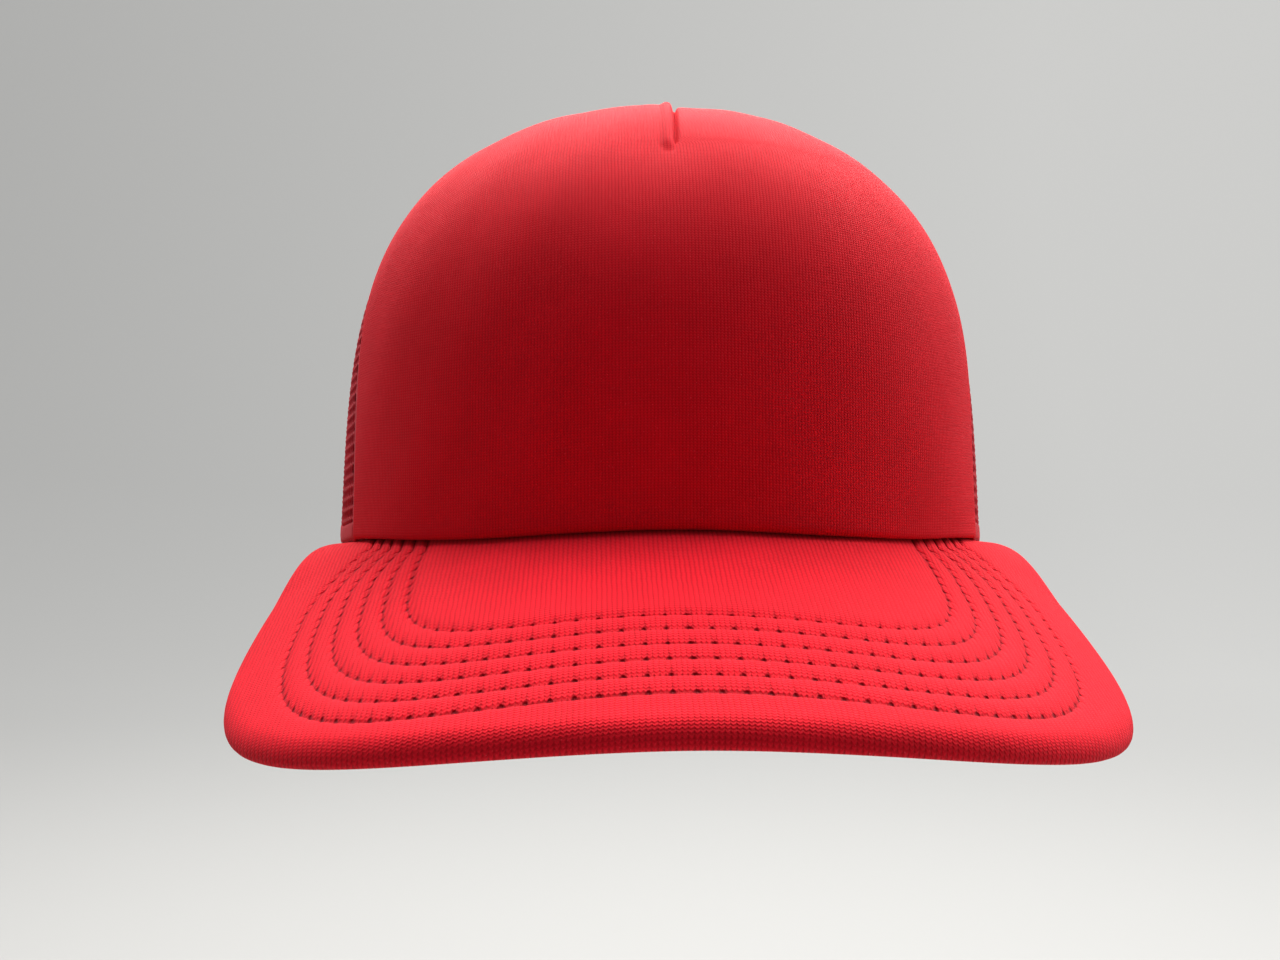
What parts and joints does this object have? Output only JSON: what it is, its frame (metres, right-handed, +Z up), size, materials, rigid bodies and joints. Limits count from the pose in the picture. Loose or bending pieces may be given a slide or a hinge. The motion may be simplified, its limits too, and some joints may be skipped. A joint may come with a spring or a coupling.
{
  "type": "trucker cap",
  "caption": "Five-panel mesh-back cap with a foam-backed knit front, a curved padded visor with parallel stitch rows, a fabric button and a plastic snap strap at the back.",
  "frame": {"origin": "centre of the head opening, in the plane of the crown's lower edge at the sides and back", "axes": "-Y towards the tip of the visor, +Z up through the button, +X towards the wearer's left"},
  "size_m": [0.18, 0.2748, 0.1436],
  "materials": {
    "knit": "matt red double-knit polyester",
    "foam": "open-cell foam",
    "net": "stiff red polyester net",
    "band_cloth": "red brushed twill",
    "tape": "woven red tape",
    "thread": "red polyester thread",
    "strap_plastic": "satin moulded plastic with fine texture",
    "board": "moulded sheet",
    "steel": "pressed steel"
  },
  "bodies": {
    "cap": {"front_panel_face": "knit", "front_panel_foam": "foam", "dart_seam_tape": "tape", "mesh_side_left": "net", "mesh_side_right": "net", "mesh_back_left": "net", "mesh_back_right": "net", "front_seam_tape_left": "tape", "front_seam_tape_right": "tape", "side_seam_tape_left": "tape", "side_seam_tape_right": "tape", "centre_seam_tape": "tape", "back_opening_binding": "tape", "button_cover": "knit", "button_shell": "steel", "button_tack": "steel", "sweatband_cover": "band_cloth", "sweatband_foam": "foam", "sweatband_stitch": "thread", "visor_board": "board", "visor_top_foam": "foam", "visor_top_cover": "knit", "visor_under_cover": "knit", "visor_stitch_row_1": "thread", "visor_stitch_row_2": "thread", "visor_stitch_row_3": "thread", "visor_stitch_row_4": "thread", "visor_stitch_row_5": "thread", "visor_stitch_row_6": "thread", "peg_strap_tab": "strap_plastic", "hole_strap_tab": "strap_plastic", "strap_tack_left": "thread", "strap_tack_right": "thread"},
    "peg_strap": {"peg_strap": "strap_plastic"},
    "hole_strap": {"hole_strap": "strap_plastic"}
  },
  "joints": [
    {"name": "hole_strap_bend", "type": "hinge", "parent": "cap", "child": "hole_strap", "pos_m": [-0.0395, 0.08928, 0.012], "axis": [0, -0.0968, 0.9953], "range_deg": [0, 80], "stiffness_Nm_per_rad": 0.0125},
    {"name": "peg_strap_bend", "type": "hinge", "parent": "cap", "child": "peg_strap", "pos_m": [0.0395, 0.08785, 0.012], "axis": [0, -0.0974, 0.9952], "range_deg": [0, 35], "stiffness_Nm_per_rad": 0.0125}
  ]
}
